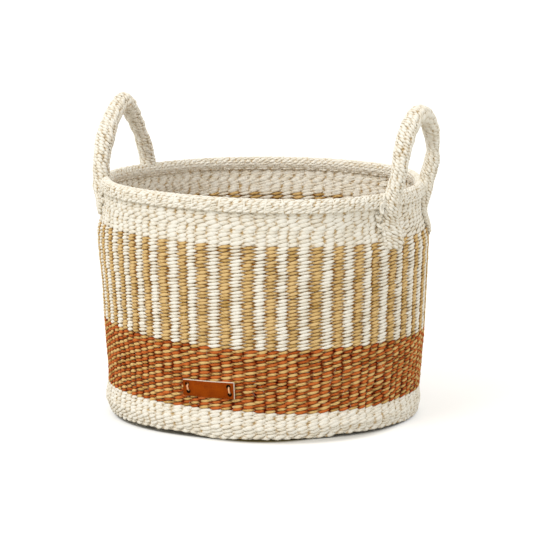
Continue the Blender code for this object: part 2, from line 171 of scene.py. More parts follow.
def warpAngle(place, height):
    # place counts the stitches round the wall
    count = wallShape["warpCount"]
    nudge = nudges + leans * np.sin(np.mean(height) * 45.0 + leanStarts)
    held = np.asarray(place) % count
    shift = np.interp(held, np.arange(count + 1), np.append(nudge, nudge[0]))
    angle = (place + shift) / count * 2 * math.pi + wallShape["warpStart"]
    return angle + wallShape["warpCrowding"] * np.sin(angle - cameraAzimuth)


# yarn tubes: rings of vertices along a route, with the yarn's own UV map and tone
def unit(vectors):
    return vectors / np.linalg.norm(vectors, axis=-1, keepdims=True)


def tubeRings(centre, out, high, deep, sides, closed):
    if closed:
        along = np.roll(centre, -1, axis=-2) - np.roll(centre, 1, axis=-2)
    else:
        along = np.gradient(centre, axis=-2)
    along = unit(along)
    out = unit(out - np.sum(out * along, axis=-1, keepdims=True) * along)
    up = np.cross(along, out)
    turn = np.arange(sides) / sides * 2 * math.pi
    ring = centre[..., None, :] + up[..., None, :] * (high[..., None] * np.cos(turn))[..., None]
    return ring + out[..., None, :] * (deep[..., None] * np.sin(turn))[..., None]


def tubeMesh(name, rings, marks, closed):
    # rings: tubes x steps x sides x 3; marks: a tone and a dip for each step, and the dip sets where the yarn material
    # paints shade at the stitch ends
    tubes, steps, sides = rings.shape[:3]
    spans = steps if closed else steps - 1
    tube, step, side = np.meshgrid(np.arange(tubes), np.arange(spans), np.arange(sides), indexing="ij")
    nextStep, nextSide = (step + 1) % steps, (side + 1) % sides

    def corner(stepIndex, sideIndex):
        return (tube * steps + stepIndex) * sides + sideIndex

    quads = np.stack(
        [corner(step, side), corner(nextStep, side), corner(nextStep, nextSide), corner(step, nextSide)], axis=-1
    ).reshape(-1, 4)
    loops = quads.ravel()
    starts = np.arange(0, len(loops), 4)
    if not closed:
        first = np.arange(tubes)[:, None] * steps * sides + np.arange(sides)[None, :]
        last = first[:, ::-1] + (steps - 1) * sides
        capLoops = np.concatenate([first, last]).ravel()
        starts = np.concatenate([starts, len(loops) + np.arange(0, len(capLoops), sides)])
        loops = np.concatenate([loops, capLoops])
    mesh = bpy.data.meshes.new(name)
    mesh.vertices.add(tubes * steps * sides)
    mesh.vertices.foreach_set("co", rings.astype(np.float32).ravel())
    mesh.loops.add(len(loops))
    mesh.loops.foreach_set("vertex_index", loops.astype(np.int32))
    mesh.polygons.add(len(starts))
    mesh.polygons.foreach_set("loop_start", starts.astype(np.int32))
    mesh.update(calc_edges=True)
    middle = rings.mean(axis=2)
    lengths = np.linalg.norm(np.diff(middle, axis=1, append=middle[:, :1]), axis=-1)
    reach = np.concatenate([np.zeros((tubes, 1)), np.cumsum(lengths, axis=1)], axis=1)
    lowU, highU = reach[tube, step], reach[tube, step + 1]
    lowV, highV = side / sides, (side + 1) / sides
    quadUv = np.stack([lowU, lowV, highU, lowV, highU, highV, lowU, highV], axis=-1).reshape(-1)
    uv = np.zeros(2 * len(loops))
    uv[: len(quadUv)] = quadUv
    mesh.uv_layers.new(name="yarn").uv.foreach_set("vector", uv.astype(np.float32))
    spread = np.zeros((tubes * steps, sides, 3))
    spread[..., :2] = marks.reshape(-1, 1, 2)
    attribute = mesh.attributes.new("yarnMark", "FLOAT_VECTOR", "POINT")
    attribute.data.foreach_set("vector", spread.astype(np.float32).ravel())
    mesh.polygons.foreach_set("use_smooth", np.ones(len(starts), dtype=bool))
    mesh.validate()
    return mesh


def addPiece(name, mesh, material, body, nodes=()):
    piece = bpy.data.objects.new(name, mesh)
    bpy.context.collection.objects.link(piece)
    mesh.materials.append(material)
    if body:
        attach(piece, body)
    if nodes:
        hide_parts(*nodes)
    return piece


# one strand of a twined pair: it lies outside one warp, then inside the next
twist = {
    "pointsPerWarp": 6,
    "sides": 6,
    "flatness": 2.2,           # how long a stitch stays on the outside of its warp
    "wander": 0.00032,
    "unevenStitch": 0.17,
    "stray": 0.00016,
}


def stitchTone(count, strand, steps):
    # a value for each stitch, blended where the strand goes under
    place = np.arange(count * steps) / steps + strand
    values = chance.uniform(-1.0, 1.0, count + 2)
    return values[np.round(place).astype(int) % count], place


def twinedStrand(base, out, up, count, strand, yarn):
    # base, out, up: steps x 3 along the row's middle line
    tone, place = stitchTone(count, strand, len(base) // count)
    swing = np.tanh(twist["flatness"] * np.cos(math.pi * place)) / math.tanh(twist["flatness"])
    climb = np.sin(math.pi * place)
    size = 1.0 + twist["unevenStitch"] * tone
    stray = twist["stray"] * np.sin(tone * 40.0) * (1.0 - climb ** 2)
    centre = base + out * (yarn["swing"] * swing)[:, None] + up * (yarn["climb"] * climb * size + stray)[:, None]
    high = yarn["high"] * (1.0 - yarn["pinch"] * climb ** 2) * size
    deep = yarn["deep"] * (1.0 - 0.4 * yarn["pinch"] * climb ** 2)
    # the second mark, where the strand goes under, sets painted shade in the yarn material
    return centre, high, deep, np.stack([tone, climb ** 2], axis=-1)


def waviness(angle, row):
    # slow unevenness of one hand-made row
    waves = np.zeros_like(angle)
    for order in (3, 5, 8):
        waves += np.sin(order * angle + chance.uniform(0.0, 6.28)) / 3
    return waves


def wallRow(height, strand, yarn, slip):
    count = wallShape["warpCount"]
    steps = count * twist["pointsPerWarp"]
    angle = warpAngle(np.arange(steps) / twist["pointsPerWarp"] + slip, height)
    level = height + sag(angle, height) + twist["wander"] * waviness(angle, height)
    level = np.maximum(level, yarn["high"] * 1.25)
    middle = wallRadius(angle, height) - wallShape["thickness"] / 2 + wallShape["weaveLift"]
    radius = middle + twist["wander"] * waviness(angle, height)
    out = np.stack([np.cos(angle), np.sin(angle), np.zeros(steps)], axis=-1)
    base = out * radius[:, None]
    base[:, 2] = level
    up = np.tile(np.array([0.0, 0.0, 1.0]), (steps, 1))
    centre, high, deep, marks = twinedStrand(base, out, up, count, strand, yarn)
    return tubeRings(centre, out, high, deep, twist["sides"], True), marks


# each band: its rows, how full and how pinched the yarn is, how deep its relief is,
# and how far a row's stitches slip sideways
bandPlan = {
    "foot": {"box": footBox, "rows": 8, "fullness": 0.72, "pinch": 0.48, "relief": 0.82, "climb": 0.30, "slip": 0.26},
    "rust": {"box": rustBox, "rows": 20, "fullness": 0.59, "pinch": 0.46, "relief": 1.0, "climb": 0.25, "slip": 0.17},
    "stripes": {"box": stripeBox, "rows": 30, "fullness": 0.58, "pinch": 0.47, "relief": 1.0, "climb": 0.25,
                "slip": 0.10},
    "upper": {"box": upperBox, "rows": 9, "fullness": 0.72, "pinch": 0.48, "relief": 0.82, "climb": 0.30, "slip": 0.26},
}
wallYarn = {"swing": 0.00125, "deep": 0.00125}


def bandRows(name):
    # the height of each row in the band, and how far it slips
    plan = bandPlan[name]
    low, high = plan["box"][0][2], plan["box"][1][2]
    heights = low + (high - low) * (np.arange(plan["rows"]) + 0.5) / plan["rows"]
    return list(zip(heights, chance.uniform(-plan["slip"], plan["slip"], plan["rows"])))


def yarnFor(name):
    plan = bandPlan[name]
    pitch = (plan["box"][1][2] - plan["box"][0][2]) / plan["rows"]
    return {
        "swing": wallYarn["swing"] * plan["relief"],
        "climb": pitch * plan["climb"],
        "high": pitch * plan["fullness"],
        "deep": wallYarn["deep"] * plan["relief"],
        "pinch": plan["pinch"],
    }


def stackTubes(made):
    return np.stack([rings for rings, marks in made]), np.stack([marks for rings, marks in made])


def plainMarks(tone):
    return np.stack([tone, np.zeros_like(tone)], axis=-1)


def makeBand(name, rows, strands, yarn, material, nodes=()):
    # strands: for each row, which of the pair this piece holds
    made = [wallRow(height, strand, yarn, slip)
            for (height, slip), pair in zip(rows, strands) for strand in pair]
    rings, marks = stackTubes(made)
    return addPiece(name, tubeMesh(name, rings, marks, True), material, "basket", nodes)


# materials
# light and dark are the fibres; the third colour is painted shade, tinting the gaps between rows and the specks at the
# stitches' ends, and the next two values set how strong it is along a strand's top and bottom and how few stitch ends
# get it
yarnLook = {
    "cream": {"light": (0.86, 0.82, 0.72), "dark": (0.76, 0.69, 0.55), "paintedShadeTint": (0.64, 0.47, 0.25),
              "edge": 0.34, "shadeSpeckThreshold": 0.44, "roughness": 0.85},
    "tan": {"light": (0.71, 0.495, 0.22), "dark": (0.45, 0.270, 0.073), "paintedShadeTint": (0.38, 0.22, 0.060),
            "edge": 0.66, "shadeSpeckThreshold": 0.34, "roughness": 0.82},
    "strawTan": {"light": (0.70, 0.47, 0.180), "dark": (0.40, 0.20, 0.036), "paintedShadeTint": (0.28, 0.068, 0.008),
                 "edge": 0.75, "shadeSpeckThreshold": 0.35, "roughness": 0.82},
    "rust": {"light": (0.56, 0.145, 0.032), "dark": (0.26, 0.034, 0.001), "paintedShadeTint": (0.24, 0.048, 0.006),
             "edge": 0.60, "shadeSpeckThreshold": 0.35, "roughness": 0.80},
    "warp": {"light": (0.60, 0.46, 0.27), "dark": (0.36, 0.25, 0.12), "paintedShadeTint": (1.0, 1.0, 1.0),
             "edge": 0.0, "shadeSpeckThreshold": 1.0, "roughness": 0.90},
    "thread": {"light": (0.82, 0.46, 0.24), "dark": (0.60, 0.28, 0.12), "paintedShadeTint": (1.0, 1.0, 1.0),
               "edge": 0.0, "shadeSpeckThreshold": 1.0, "roughness": 0.75},
}


def link(tree, fromNode, fromSocket, toNode, toSocket):
    tree.links.new(fromNode.outputs[fromSocket], toNode.inputs[toSocket])


def mathNode(tree, operation, first=None, second=None):
    node = tree.nodes.new("ShaderNodeMath")
    node.operation = operation
    for socket, value in zip(node.inputs, (first, second)):
        if value is None:
            continue
        if isinstance(value, (int, float)):
            socket.default_value = value
        else:
            tree.links.new(value, socket)
    return node.outputs[0]


def noiseNode(tree, vector, scale, detail):
    node = tree.nodes.new("ShaderNodeTexNoise")
    node.inputs["Scale"].default_value = scale
    node.inputs["Detail"].default_value = detail
    tree.links.new(vector, node.inputs["Vector"])
    return node.outputs["Fac"]


def mixColour(tree, blendType, factor, first, second):
    node = tree.nodes.new("ShaderNodeMix")
    node.data_type = "RGBA"
    node.blend_type = blendType
    for socket, value in zip((node.inputs["Factor"], node.inputs["A"], node.inputs["B"]), (factor, first, second)):
        if isinstance(value, bpy.types.NodeSocket):
            tree.links.new(value, socket)
        else:
            socket.default_value = value if isinstance(value, float) else (*value, 1.0)
    return node.outputs["Result"]


def startMaterial(name, roughness):
    material = bpy.data.materials.new(name)
    material.use_nodes = True
    shader = material.node_tree.nodes["Principled BSDF"]
    shader.inputs["Roughness"].default_value = roughness
    return material, material.node_tree, shader


def makeYarnMaterial(name, look):
    material, tree, shader = startMaterial(name, look["roughness"])
    shader.inputs["Specular IOR Level"].default_value = 0.05
    uvMap = tree.nodes.new("ShaderNodeUVMap")
    uvMap.uv_map = "yarn"
    split = tree.nodes.new("ShaderNodeSeparateXYZ")
    link(tree, uvMap, "UV", split, "Vector")
    along, around = split.outputs["X"], split.outputs["Y"]
    # two plies wind round the yarn, with fibres that follow them
    turned = mathNode(tree, "ADD", around, mathNode(tree, "MULTIPLY", along, 95.0))
    joined = tree.nodes.new("ShaderNodeCombineXYZ")
    tree.links.new(mathNode(tree, "MULTIPLY", along, 170.0), joined.inputs["X"])
    tree.links.new(mathNode(tree, "MULTIPLY", turned, 9.0), joined.inputs["Y"])
    fibre = noiseNode(tree, joined.outputs[0], 1.0, 2.5)
    ply = mathNode(tree, "ABSOLUTE", mathNode(tree, "SINE", mathNode(tree, "MULTIPLY", turned, 6.283)))
    place = tree.nodes.new("ShaderNodeTexCoord")
    patch = noiseNode(tree, place.outputs["Object"], 60.0, 2.0)
    mark = tree.nodes.new("ShaderNodeAttribute")
    mark.attribute_name = "yarnMark"
    marks = tree.nodes.new("ShaderNodeSeparateXYZ")
    link(tree, mark, "Vector", marks, "Vector")
    blend = mathNode(tree, "MULTIPLY", fibre, 0.75)
    blend = mathNode(tree, "ADD", blend, mathNode(tree, "MULTIPLY", marks.outputs["X"], 0.16))
    blend = mathNode(tree, "ADD", blend, mathNode(tree, "MULTIPLY", patch, 0.45))
    blend = mathNode(tree, "ADD", blend, mathNode(tree, "MULTIPLY", ply, 0.10))
    ramp = tree.nodes.new("ShaderNodeValToRGB")
    ramp.color_ramp.elements[0].position = 0.38
    ramp.color_ramp.elements[0].color = (*look["dark"], 1.0)
    ramp.color_ramp.elements[1].position = 0.74
    ramp.color_ramp.elements[1].color = (*look["light"], 1.0)
    tree.links.new(blend, ramp.inputs["Fac"])
    # painted shade: brown is painted between the rows and at the ends of some stitches, where the strand goes under
    shadeSpot = noiseNode(tree, place.outputs["Object"], 250.0, 1.0)
    shadeSpot = mathNode(tree, "MULTIPLY", mathNode(tree, "SUBTRACT", shadeSpot, look["shadeSpeckThreshold"]), 5.0)
    dip = mathNode(tree, "MULTIPLY", mathNode(tree, "POWER", marks.outputs["Y"], 3.0), shadeSpot)
    # painted shade along the top and bottom of each strand, where it meets the next row
    edge = mathNode(tree, "ABSOLUTE", mathNode(tree, "COSINE", mathNode(tree, "MULTIPLY", around, 6.283)))
    edge = mathNode(tree, "MULTIPLY", mathNode(tree, "POWER", edge, 5.0), look["edge"])
    shade = mathNode(tree, "MINIMUM", mathNode(tree, "MAXIMUM", mathNode(tree, "MAXIMUM", dip, edge), 0.0), 1.0)
    colour = mixColour(tree, "MULTIPLY", shade, ramp.outputs["Color"], look["paintedShadeTint"])
    tree.links.new(colour, shader.inputs["Base Color"])
    bump = tree.nodes.new("ShaderNodeBump")
    bump.inputs["Strength"].default_value = 0.6
    bump.inputs["Distance"].default_value = 0.0005
    height = mathNode(tree, "ADD", fibre, mathNode(tree, "MULTIPLY", ply, 0.7))
    tree.links.new(height, bump.inputs["Height"])
    link(tree, bump, "Normal", shader, "Normal")
    return material


creamYarn = makeYarnMaterial("creamYarn", yarnLook["cream"])
tanYarn = makeYarnMaterial("tanYarn", yarnLook["tan"])
strawYarn = makeYarnMaterial("strawYarn", yarnLook["strawTan"])
rustYarn = makeYarnMaterial("rustYarn", yarnLook["rust"])
warpYarn = makeYarnMaterial("warpYarn", yarnLook["warp"])
threadYarn = makeYarnMaterial("threadYarn", yarnLook["thread"])
print("materials made")


# the four bands of the wall
def makeWall():
    rows = bandRows("foot")
    makeBand("footBand", rows, [(0, 1)] * len(rows), yarnFor("foot"), creamYarn, ["foot_band"])
    rows = bandRows("rust")
    order = [row % 2 for row in range(len(rows))]
    makeBand("rustStrands", rows, [(strand,) for strand in order], yarnFor("rust"), rustYarn,
             ["rust_band"])
    makeBand("strawStrands", rows, [(1 - strand,) for strand in order], yarnFor("rust"), strawYarn)
    rows = bandRows("stripes")
    yarn = yarnFor("stripes")
    makeBand("creamStripes", rows, [(0,)] * len(rows), yarn, creamYarn, ["striped_band"])
    makeBand("tanStripes", rows, [(1,)] * len(rows), yarn, tanYarn)
    rows = bandRows("upper")
    makeBand("upperBand", rows, [(0, 1)] * len(rows), yarnFor("upper"), creamYarn, ["upper_band"])


def makeWarps():
    # the upright spokes inside the yarn, one at each stitch
    count = wallShape["warpCount"]
    heights = np.linspace(0.004, upperBox[1][2] - 0.002, 26)
    angle = np.stack([warpAngle(np.arange(count), height) for height in heights], axis=-1)
    level = np.broadcast_to(heights, angle.shape)
    radius = wallRadius(angle, level) - wallShape["thickness"] / 2 + wallShape["weaveLift"]
    centre = np.stack([radius * np.cos(angle), radius * np.sin(angle), level + sag(angle, level)], axis=-1)
    out = np.stack([np.cos(angle), np.sin(angle), np.zeros_like(angle)], axis=-1)
    high = np.full(angle.shape, 0.0019)
    deep = np.full(angle.shape, 0.0006)
    rings = tubeRings(centre, out, high, deep, 6, False)
    tone = chance.uniform(-1.0, 1.0, (count, 1)) + np.zeros(angle.shape)
    addPiece("warps", tubeMesh("warps", rings, plainMarks(tone), False), warpYarn, "basket")


makeWall()
makeWarps()
print("wall twined")


# floor of the basket: twined rings round its middle
floorPlan = {"ringPitch": 0.0036, "innerRadius": 0.0035, "pointsPerWarp": 4}


def makeFloor():
    level = (floorBox[0][2] + floorBox[1][2]) / 2
    edge = floorBox[1][1] + 0.0024
    count = int((edge - floorPlan["innerRadius"]) / floorPlan["ringPitch"])
    radii = floorPlan["innerRadius"] + (edge - floorPlan["innerRadius"]) * (np.arange(count) + 0.5) / count
    yarn = {"swing": 0.00125, "climb": 0.0008, "high": 0.0019, "deep": 0.00125, "pinch": 0.4}
    groups = {}
    for radius in radii:
        warps = max(6, 2 * round(math.pi * radius / 0.0105))
        groups.setdefault(warps, []).append(radius)
    meshes = []
    for warps, members in groups.items():
        made = [floorRing(radius, strand, yarn, warps, level) for radius in members for strand in (0, 1)]
        rings, marks = stackTubes(made)
        meshes.append(tubeMesh("floorRings", rings, marks, True))
    pieces = [addPiece("floorRings" + str(index), mesh, creamYarn, None)
              for index, mesh in enumerate(meshes)]
    floorPiece = joinPieces(pieces, "floorTwining")
    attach(floorPiece, "basket")
    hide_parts("base_disc")
    makeSpokes(level, edge)


def floorRing(radius, strand, yarn, warps, level):
    steps = warps * floorPlan["pointsPerWarp"]
    angle = np.arange(steps) / steps * 2 * math.pi
    outward = np.stack([np.cos(angle), np.sin(angle), np.zeros(steps)], axis=-1)
    base = outward * radius
    base[:, 2] = level + floorRise(angle, radius)
    up = np.tile(np.array([0.0, 0.0, 1.0]), (steps, 1))
    centre, high, deep, marks = twinedStrand(base, up, outward, warps, strand, yarn)
    return tubeRings(centre, up, high, deep, 6, True), marks


def joinPieces(pieces, name):
    bpy.ops.object.select_all(action="DESELECT")
    for piece in pieces:
        piece.select_set(True)
    bpy.context.view_layer.objects.active = pieces[0]
    bpy.ops.object.join()
    pieces[0].name = name
    pieces[0].data.name = name
    return pieces[0]


def makeSpokes(level, edge):
    count = 48
    reach = np.linspace(0.002, edge, 12)
    angle = (np.arange(count) / count * 2 * math.pi)[:, None] + np.zeros(12)[None, :]
    radius = np.broadcast_to(reach, angle.shape)
    centre = np.stack([radius * np.cos(angle), radius * np.sin(angle), level + floorRise(angle, radius)], axis=-1)
    out = np.zeros(centre.shape)
    out[..., 2] = 1.0
    high = np.minimum(0.0018, radius * 0.055)
    rings = tubeRings(centre, out, high, np.full(angle.shape, 0.0006), 6, False)
    tone = np.zeros(angle.shape)
    addPiece("floorSpokes", tubeMesh("floorSpokes", rings, plainMarks(tone), False), warpYarn, "basket")


makeFloor()
print("floor twined")


# rim roll: rows of short steep stitches round a folded hem, whipped over with yarn
rimPlan = {
    "stitchCount": 160,
    "pointsPerStitch": 5,
    "sides": 5,
    "rows": 12,
    "yarn": {"swing": 0.0008, "climb": 0.0008, "high": 0.00170, "deep": 0.0012, "pinch": 0.42},
    "innerShare": 0.72,
    "tuck": 0.60,               # the inner lip is drawn against the wall
    "lashings": 46,
    "lashingRadius": 0.0010,
    "lashingBedding": 0.0007,
}
rimCentre = upperBox[1][1] - wallShape["thickness"] / 2
rimHalfWidth = rimBox[1][1] - rimCentre
rimMiddle = (rimBox[0][2] + rimBox[1][2]) / 2
rimHalfHeight = (rimBox[1][2] - rimBox[0][2]) / 2


def innerSide(offset):
    # the fold is thinner on the inside of the basket
    return np.where(offset < 0.0, offset * rimPlan["innerShare"], offset)


def rimSection(share, inset):
    # share 0 is the outer lip and 1 the inner lip; returns offset, height and normal
    straight = rimHalfHeight - inset
    half = rimHalfWidth - inset
    crown = rimHalfHeight - inset
    arc = math.pi * (half + crown) / 2
    total = 2 * straight + arc
    place = np.asarray(share) * total
    turn = np.clip((place - straight) / arc, 0.0, 1.0) * math.pi
    offset = half * np.cos(turn)
    drop = np.where(place < straight, straight - place, np.where(place > straight + arc, place - straight - arc, 0.0))
    height = rimMiddle + crown * np.sin(turn) - drop
    normal = np.stack([crown * np.cos(turn), half * np.sin(turn)], axis=-1)
    tucked = 1.0 - rimPlan["tuck"] * smoothStep((np.asarray(share) - 0.72) / 0.28)
    return innerSide(offset) * tucked, height, unit(normal)


def rimPoint(angle, offset, height):
    radius = rimCentre + offset - drawIn(angle, rimMiddle)
    level = height + sag(angle, rimMiddle)
    return np.stack([radius * np.cos(angle), radius * np.sin(angle), level + np.zeros_like(angle)], axis=-1)


def rimRow(share, strand):
    yarn = rimPlan["yarn"]
    count = rimPlan["stitchCount"]
    steps = count * rimPlan["pointsPerStitch"]
    angle = np.arange(steps) / steps * 2 * math.pi + chance.uniform(0.0, 2 * math.pi / count)
    drift = 0.012 * waviness(angle, 0.0)
    offset, height, normal = rimSection(share + drift, yarn["deep"] + yarn["swing"] * 0.6)
    base = rimPoint(angle, offset, height)
    radial = np.stack([np.cos(angle), np.sin(angle), np.zeros(steps)], axis=-1)
    upward = np.array([0.0, 0.0, 1.0])
    out = radial * normal[:, :1] + upward * normal[:, 1:]
    up = -radial * normal[:, 1:] + upward * normal[:, :1]
    centre, high, deep, marks = twinedStrand(base, out, up, count, strand, yarn)
    return tubeRings(centre, out, high, deep, rimPlan["sides"], True), marks


def makeRim():
    rows = rimPlan["rows"]
    made = [rimRow((row + 0.35) / (rows - 0.3), strand) for row in range(rows) for strand in (0, 1)]
    rings, marks = stackTubes(made)
    addPiece("rimRoll", tubeMesh("rimRoll", rings, marks, True), creamYarn, "basket",
             ["rim_cover", "rim_core"])
    angle = np.arange(120) / 120 * 2 * math.pi
    steps = len(angle)
    centre = rimPoint(angle, 0.0, rimMiddle)
    out = np.stack([np.cos(angle), np.sin(angle), np.zeros(steps)], axis=-1)
    rings = tubeRings(centre, out, np.full(steps, 0.0052), np.full(steps, 0.0041), 10, True)
    marks = plainMarks(np.zeros((1, steps)))
    addPiece("rimCore", tubeMesh("rimCore", rings[None], marks, True), creamYarn, "basket")


def makeLashings():
    count = rimPlan["lashings"]
    steps = 14
    start = (np.arange(count) + chance.uniform(-0.28, 0.28, count)) / count * 2 * math.pi
    slant = chance.uniform(-0.012, 0.022, count)
    share = np.linspace(0.0, 0.62, steps)
    angle = start[:, None] + slant[:, None] * share[None, :]
    offset, height, normal = rimSection(np.broadcast_to(share, angle.shape), rimPlan["lashingBedding"])
    centre = rimPoint(angle, offset, height)
    radial = np.stack([np.cos(angle), np.sin(angle), np.zeros_like(angle)], axis=-1)
    out = radial * normal[..., :1] + np.array([0.0, 0.0, 1.0]) * normal[..., 1:]
    size = rimPlan["lashingRadius"] * chance.uniform(0.8, 1.15, (count, 1)) * np.ones(steps)
    rings = tubeRings(centre, out, size * 1.15, size * 0.75, 6, False)
    tone = chance.uniform(-1.0, 1.0, (count, 1)) + np.zeros(angle.shape)
    addPiece("rimLashings", tubeMesh("rimLashings", rings, plainMarks(tone), False), creamYarn, "basket")


makeRim()
makeLashings()
print("rim rolled and lashed")


# handles: a twined sleeve that runs from one sewn end over the loop to the other
handlePlan = {
    "endBottom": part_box("right_end_front")[0][2],
    "pivotHeight": 0.237,
    "ropeHalf": 0.0081,
    "tabHalfWidth": 0.0152,
    "tabHalfThickness": {"right": 0.0036, "left": 0.0044},
    "tabShare": {"right": 0.30, "left": 0.42},     # how much of the sewn end stays flat
    # how deep the sewn end sinks into the wall, and the leg into the rim
    "tabBedding": {"right": 0.0028, "left": 0.0024},
    "rimBedding": {"right": 0.0100, "left": 0.0108},
    "tipRun": {"right": 0.004, "left": 0.014},
    "tipRise": {"right": 0.0, "left": 0.015},
    "saddleRun": 0.010,
    "rowPitch": 0.0031,
    "warpsRound": 8,
    "yarn": {"swing": 0.0010, "climb": 0.0011, "high": 0.0019, "deep": 0.0012, "pinch": 0.36},
}
# each loop as it stands: reach at its foot, rise and lean, then its front and back half: how far each
# spans, how much of it stands straight, and how full its curve is, from 1, a straight slope, to 2, round
# girth: how thick the sleeve is, in ropes, at distances from the loop's top towards its back
loopShapes = {
    "right": {
        "facing": 1.0, "reach": 0.1527, "rise": 0.0640, "lean": math.radians(4.2),
        "span": (0.0510, 0.0550), "foot": (0.008, 0.012), "fullness": (2.04, 1.88),
        "girth": ((-0.078, 1.0), (-0.066, 1.06), (-0.050, 1.14), (-0.034, 1.13), (-0.020, 1.14),
                  (0.000, 1.22), (0.014, 1.12), (0.028, 1.06), (0.046, 1.07), (0.056, 0.97),
                  (0.064, 0.84), (0.072, 0.82), (0.082, 1.00)),
    },
    "left": {
        "facing": -1.0, "reach": 0.1456, "rise": 0.0612, "lean": math.radians(0.9),
        "span": (0.0620, 0.0580), "foot": (0.0, 0.0), "fullness": (1.64, 1.24),
        "girth": ((-0.074, 1.05), (-0.064, 1.18), (-0.056, 1.22), (-0.044, 1.12), (-0.030, 1.08), (-0.017, 1.10), (-0.0095, 0.92),
                  (-0.003, 1.16), (0.004, 1.20), (0.0085, 1.04), (0.014, 1.18), (0.021, 1.04),
                  (0.029, 1.08), (0.036, 0.94), (0.044, 1.00), (0.052, 0.90), (0.060, 0.87),
                  (0.068, 1.00)),
    },
}


def seatRadius(angle, height):
    base = np.interp(height, outlineHeights, outlineRadii)
    lift = np.clip((height - (rimBox[0][2] - handlePlan["saddleRun"])) / handlePlan["saddleRun"], 0.0, 1.0)
    rimRadius = rimCentre + rimHalfWidth
    return base + (rimRadius - base) * lift - drawIn(angle, height) + bulge(angle, height)


def legRoute(shape, sign):
    # from the tip of the sewn tab up the side of the rim
    side, middle = ("right", 0.0) if shape["facing"] > 0 else ("left", math.pi)
    angle = middle + shape["facing"] * sign * wallShape["legAngle"][side]
    bottom = handlePlan["endBottom"] + handlePlan["tipRise"][side]
    heights = np.linspace(bottom, rimMiddle, 40)
    rise = heights - bottom
    whole = rise / (rimMiddle - bottom)
    flat = handlePlan["tabShare"][side]
    share = smoothStep((whole - flat) / (1.0 - flat))
    tip = np.sqrt(1.0 - np.clip(1.0 - rise / handlePlan["tipRun"][side], 0.0, 1.0) ** 2)
    width = handlePlan["tabHalfWidth"] + (handlePlan["ropeHalf"] - handlePlan["tabHalfWidth"]) * share
    thick = handlePlan["tabHalfThickness"][side]
    thick = thick + (handlePlan["ropeHalf"] - thick) * share
    width *= 0.72 + 0.28 * tip
    thick *= 0.6 + 0.4 * tip
    bedding = handlePlan["tabBedding"][side]
    deep = bedding + (handlePlan["rimBedding"][side] - bedding) * share
    out = seatRadius(angle, heights) + wallShape["weaveLift"] + thick - deep
    points = np.stack([out * math.cos(angle), out * math.sin(angle), heights], axis=-1)
    return points, width, thick


def loopRoute(shape):
    turn = np.linspace(0.02, math.pi - 0.02, 120)
    span, foot, fullness = (np.where(turn < math.pi / 2, *shape[name]) for name in ("span", "foot", "fullness"))
    across = span * np.sign(np.cos(turn)) * np.abs(np.cos(turn)) ** (2 / fullness)
    rise = foot + (shape["rise"] - foot) * np.sin(turn) ** (2 / fullness)
    out = shape["facing"] * (shape["reach"] + rise * math.sin(shape["lean"]))
    return np.stack([out, -across, handlePlan["pivotHeight"] + rise * math.cos(shape["lean"])], axis=-1)


def handleRoute(shape):
    # middle line, half width and half thickness, from the front tab to the back one
    front, frontWidth, frontThick = legRoute(shape, -1.0)
    back, backWidth, backThick = legRoute(shape, 1.0)
    loop = loopRoute(shape)
    full = np.full(len(loop), handlePlan["ropeHalf"])
    points = np.concatenate([front, loop, back[::-1]])
    widths = np.concatenate([frontWidth, full, backWidth[::-1]])
    thicks = np.concatenate([frontThick, full, backThick[::-1]])
    angle = np.arctan2(points[:, 1], points[:, 0])
    points[:, 2] += sag(angle, np.minimum(points[:, 2], rimMiddle))
    reach = lengthAlong(points)
    even = np.linspace(0.0, reach[-1], 200)
    points = smoothRoute(resample(points, reach, even), 24)
    return points, np.interp(even, reach, widths), np.interp(even, reach, thicks)


def lengthAlong(points):
    return np.concatenate([[0.0], np.cumsum(np.linalg.norm(np.diff(points, axis=0), axis=1))])


def resample(values, reach, wanted):
    return np.stack([np.interp(wanted, reach, values[:, axis]) for axis in range(3)], axis=-1)


def smoothRoute(points, rounds):
    for turn in range(rounds):
        inner = (points[:-2] + points[1:-1] * 2 + points[2:]) / 4
        points = np.concatenate([points[:1], inner, points[-1:]])
    return points


def sleeveGirth(shape, beyondTop):
    places, girths = zip(*shape["girth"])
    return np.interp(beyondTop, places, girths) * (1.0 + 0.025 * np.sin(beyondTop * 410.0 + 1.0))


